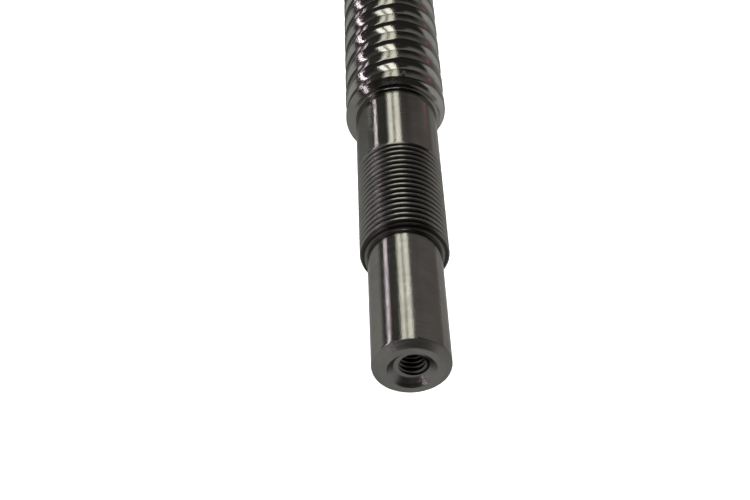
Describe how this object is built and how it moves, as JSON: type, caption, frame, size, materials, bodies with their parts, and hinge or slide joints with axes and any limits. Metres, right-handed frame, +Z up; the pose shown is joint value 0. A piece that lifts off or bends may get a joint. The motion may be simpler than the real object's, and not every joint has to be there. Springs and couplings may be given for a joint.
{
  "type": "ball screw assembly",
  "caption": "Right-hand ball screw with a stepped, threaded drive end and a flanged ball nut that travels along it as it turns.",
  "frame": {"origin": "on the screw's axis at its mid-length, which is the centre of the whole box", "axes": "+Y along the screw's axis from the drive end to the floating end, +Z up through the flange's upper flat and its lubrication port, +X to the right seen from the drive end"},
  "size_m": [0.048, 0.262, 0.04],
  "materials": {
    "screw_steel": "ground and turned, hardened steel with a light film of oil",
    "nut_steel": "ground bearing steel, turned end faces",
    "ball_steel": "lapped, mirror bright",
    "deflector_steel": "sintered steel, satin",
    "spring_steel": "phosphated spring steel, dark satin",
    "wiper_plastic": "moulded acetal, satin",
    "plug_steel": "black oxide"
  },
  "bodies": {
    "screw": {"screw_shaft": "screw_steel"},
    "ring_carrier": {"retaining_ring_flange_side": "spring_steel", "retaining_ring_barrel_side": "spring_steel"},
    "nut": {"nut_body": "nut_steel", "deflector_1": "deflector_steel", "deflector_2": "deflector_steel", "deflector_3": "deflector_steel", "wiper_flange_side": "wiper_plastic", "wiper_barrel_side": "wiper_plastic", "lube_plug": "plug_steel", "ball_1_01": "ball_steel", "ball_1_02": "ball_steel", "ball_1_03": "ball_steel", "ball_1_04": "ball_steel", "ball_1_05": "ball_steel", "ball_1_06": "ball_steel", "ball_1_07": "ball_steel", "ball_1_08": "ball_steel", "ball_1_09": "ball_steel", "ball_1_10": "ball_steel", "ball_1_11": "ball_steel", "ball_1_12": "ball_steel", "ball_1_13": "ball_steel", "ball_1_14": "ball_steel", "ball_1_15": "ball_steel", "ball_1_16": "ball_steel", "ball_2_01": "ball_steel", "ball_2_02": "ball_steel", "ball_2_03": "ball_steel", "ball_2_04": "ball_steel", "ball_2_05": "ball_steel", "ball_2_06": "ball_steel", "ball_2_07": "ball_steel", "ball_2_08": "ball_steel", "ball_2_09": "ball_steel", "ball_2_10": "ball_steel", "ball_2_11": "ball_steel", "ball_2_12": "ball_steel", "ball_2_13": "ball_steel", "ball_2_14": "ball_steel", "ball_2_15": "ball_steel", "ball_2_16": "ball_steel", "ball_3_01": "ball_steel", "ball_3_02": "ball_steel", "ball_3_03": "ball_steel", "ball_3_04": "ball_steel", "ball_3_05": "ball_steel", "ball_3_06": "ball_steel", "ball_3_07": "ball_steel", "ball_3_08": "ball_steel", "ball_3_09": "ball_steel", "ball_3_10": "ball_steel", "ball_3_11": "ball_steel", "ball_3_12": "ball_steel", "ball_3_13": "ball_steel", "ball_3_14": "ball_steel", "ball_3_15": "ball_steel", "ball_3_16": "ball_steel"}
  },
  "joints": [
    {"name": "nut_travel", "type": "slide", "parent": "screw", "child": "ring_carrier", "axis": [0, 1, 0], "range_m": [-0.07, 0.07]},
    {"name": "nut_turn", "type": "hinge", "parent": "ring_carrier", "child": "nut", "pos_m": [0, 0.0255, 0], "axis": [0, 1, 0], "range_deg": [-5040, 5040]}
  ],
  "couplings": [
    {"joint": "nut_travel", "follows": "nut_turn", "m_per_rad": 0.00079577}
  ]
}
